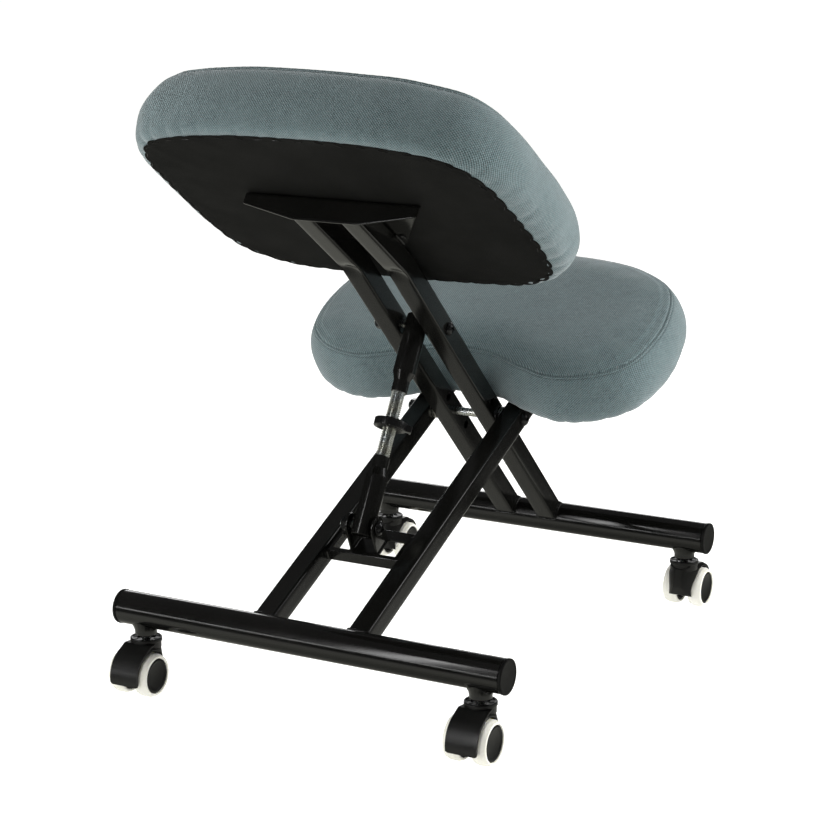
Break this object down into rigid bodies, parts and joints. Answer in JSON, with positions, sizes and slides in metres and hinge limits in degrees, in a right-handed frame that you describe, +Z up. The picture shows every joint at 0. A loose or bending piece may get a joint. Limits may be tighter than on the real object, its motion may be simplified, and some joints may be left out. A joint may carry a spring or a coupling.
{
  "type": "kneeling chair",
  "caption": "Kneeling chair with a scissor frame of black square tube on two caster bars, a forward-tilted padded seat, a kidney-shaped knee pad and a screw height adjuster.",
  "frame": {"origin": "on the floor, under the middle of the bounding box", "axes": "+Z up, -Y towards the front, where the knee pad is, +X to the sitter's left"},
  "size_m": [0.488, 0.6592, 0.7086],
  "materials": {
    "black_steel": "semi-gloss black powder coat",
    "end_cap_plastic": "moulded black plastic with a fine texture",
    "hood_plastic": "moulded black nylon, satin",
    "hub_plastic": "moulded black nylon, satin",
    "wheel_plastic": "moulded black plastic, satin",
    "white_tyre": "off-white soft tread",
    "blue_grey_fabric": "blue-grey twill upholstery over foam",
    "black_felt": "thin black non-woven dust cover, stapled",
    "plywood": "plain plywood, hidden in the pad",
    "zinc_thread": "zinc-plated coarse thread",
    "zinc_steel": "zinc-plated steel"
  },
  "bodies": {
    "knee_frame": {"rear_caster_bar": "black_steel", "rear_left_end_cap": "end_cap_plastic", "rear_right_end_cap": "end_cap_plastic", "left_knee_arm": "black_steel", "right_knee_arm": "black_steel", "crossmember": "black_steel", "knee_bracket": "black_steel", "knee_dust_cover": "black_felt", "knee_board": "plywood", "knee_cushion": "blue_grey_fabric", "scissor_bolt": "zinc_steel", "scissor_nut": "zinc_steel", "left_scissor_washer": "zinc_steel", "right_scissor_washer": "zinc_steel", "lower_adjuster_bolt": "zinc_steel", "lower_adjuster_nut": "zinc_steel", "rear_left_stem": "zinc_steel", "rear_right_stem": "zinc_steel"},
    "seat_frame": {"front_caster_bar": "black_steel", "front_left_end_cap": "end_cap_plastic", "front_right_end_cap": "end_cap_plastic", "left_seat_arm": "black_steel", "right_seat_arm": "black_steel", "seat_bracket": "black_steel", "seat_dust_cover": "black_felt", "seat_board": "plywood", "seat_cushion": "blue_grey_fabric", "upper_adjuster_bolt": "zinc_steel", "upper_adjuster_nut": "zinc_steel", "front_left_stem": "zinc_steel", "front_right_stem": "zinc_steel"},
    "lower_sleeve": {"lower_sleeve": "black_steel"},
    "adjuster_screw": {"adjuster_screw": "zinc_thread"},
    "adjuster_wheel": {"adjuster_wheel": "wheel_plastic"},
    "upper_sleeve": {"upper_sleeve": "black_steel"},
    "rear_left_caster": {"rear_left_hood": "hood_plastic", "rear_left_axle": "zinc_steel"},
    "rear_left_outer_wheel": {"rear_left_outer_hub": "hub_plastic", "rear_left_outer_tyre": "white_tyre"},
    "rear_left_inner_wheel": {"rear_left_inner_hub": "hub_plastic", "rear_left_inner_tyre": "white_tyre"},
    "rear_right_caster": {"rear_right_hood": "hood_plastic", "rear_right_axle": "zinc_steel"},
    "rear_right_outer_wheel": {"rear_right_outer_hub": "hub_plastic", "rear_right_outer_tyre": "white_tyre"},
    "rear_right_inner_wheel": {"rear_right_inner_hub": "hub_plastic", "rear_right_inner_tyre": "white_tyre"},
    "front_left_caster": {"front_left_hood": "hood_plastic", "front_left_axle": "zinc_steel"},
    "front_left_outer_wheel": {"front_left_outer_hub": "hub_plastic", "front_left_outer_tyre": "white_tyre"},
    "front_left_inner_wheel": {"front_left_inner_hub": "hub_plastic", "front_left_inner_tyre": "white_tyre"},
    "front_right_caster": {"front_right_hood": "hood_plastic", "front_right_axle": "zinc_steel"},
    "front_right_outer_wheel": {"front_right_outer_hub": "hub_plastic", "front_right_outer_tyre": "white_tyre"},
    "front_right_inner_wheel": {"front_right_inner_hub": "hub_plastic", "front_right_inner_tyre": "white_tyre"}
  },
  "joints": [
    {"name": "frame_fold", "type": "hinge", "parent": "knee_frame", "child": "seat_frame", "pos_m": [0, -0.10479, 0.26614], "axis": [1, 0, 0], "range_deg": [-10, 6]},
    {"name": "adjuster_swing", "type": "hinge", "parent": "knee_frame", "child": "lower_sleeve", "pos_m": [0, 0.15421, 0.18965], "axis": [1, 0, 0], "range_deg": [-2, 1.5]},
    {"name": "screw_travel", "type": "slide", "parent": "lower_sleeve", "child": "adjuster_screw", "axis": [0, -0.5081, 0.8613], "range_m": [-0.0165, 0.01]},
    {"name": "wheel_turn", "type": "hinge", "parent": "adjuster_screw", "child": "adjuster_wheel", "pos_m": [0, 0.09293, 0.29354], "axis": [0, -0.5081, 0.8613], "range_deg": [-2920, 1750]},
    {"name": "upper_sleeve_travel", "type": "slide", "parent": "adjuster_screw", "child": "upper_sleeve", "axis": [0, -0.5081, 0.8613], "range_m": [-0.0165, 0.01]},
    {"name": "rear_left_swivel", "type": "hinge", "parent": "knee_frame", "child": "rear_left_caster", "pos_m": [0.212, 0.28093, 0.06], "axis": [0, 0, 1], "continuous": true},
    {"name": "rear_left_outer_roll", "type": "hinge", "parent": "rear_left_caster", "child": "rear_left_outer_wheel", "pos_m": [0.2285, 0.29693, 0.02469], "axis": [1, 0, 0], "continuous": true},
    {"name": "rear_left_inner_roll", "type": "hinge", "parent": "rear_left_caster", "child": "rear_left_inner_wheel", "pos_m": [0.1955, 0.29693, 0.02469], "axis": [1, 0, 0], "continuous": true},
    {"name": "rear_right_swivel", "type": "hinge", "parent": "knee_frame", "child": "rear_right_caster", "pos_m": [-0.212, 0.28093, 0.06], "axis": [0, 0, 1], "continuous": true},
    {"name": "rear_right_outer_roll", "type": "hinge", "parent": "rear_right_caster", "child": "rear_right_outer_wheel", "pos_m": [-0.2285, 0.29693, 0.02469], "axis": [1, 0, 0], "continuous": true},
    {"name": "rear_right_inner_roll", "type": "hinge", "parent": "rear_right_caster", "child": "rear_right_inner_wheel", "pos_m": [-0.1955, 0.29693, 0.02469], "axis": [1, 0, 0], "continuous": true},
    {"name": "front_left_swivel", "type": "hinge", "parent": "seat_frame", "child": "front_left_caster", "pos_m": [0.212, -0.28367, 0.06], "axis": [0, 0, 1], "continuous": true},
    {"name": "front_left_outer_roll", "type": "hinge", "parent": "front_left_caster", "child": "front_left_outer_wheel", "pos_m": [0.2285, -0.29967, 0.02469], "axis": [1, 0, 0], "continuous": true},
    {"name": "front_left_inner_roll", "type": "hinge", "parent": "front_left_caster", "child": "front_left_inner_wheel", "pos_m": [0.1955, -0.29967, 0.02469], "axis": [1, 0, 0], "continuous": true},
    {"name": "front_right_swivel", "type": "hinge", "parent": "seat_frame", "child": "front_right_caster", "pos_m": [-0.212, -0.28367, 0.06], "axis": [0, 0, 1], "continuous": true},
    {"name": "front_right_outer_roll", "type": "hinge", "parent": "front_right_caster", "child": "front_right_outer_wheel", "pos_m": [-0.2285, -0.29967, 0.02469], "axis": [1, 0, 0], "continuous": true},
    {"name": "front_right_inner_roll", "type": "hinge", "parent": "front_right_caster", "child": "front_right_inner_wheel", "pos_m": [-0.1955, -0.29967, 0.02469], "axis": [1, 0, 0], "continuous": true}
  ],
  "couplings": [
    {"joint": "adjuster_swing", "follows": "frame_fold", "ratio": 0.163},
    {"joint": "screw_travel", "follows": "frame_fold", "m_per_rad": 0.0925},
    {"joint": "wheel_turn", "follows": "frame_fold", "ratio": 290.6},
    {"joint": "upper_sleeve_travel", "follows": "frame_fold", "m_per_rad": 0.0925}
  ]
}
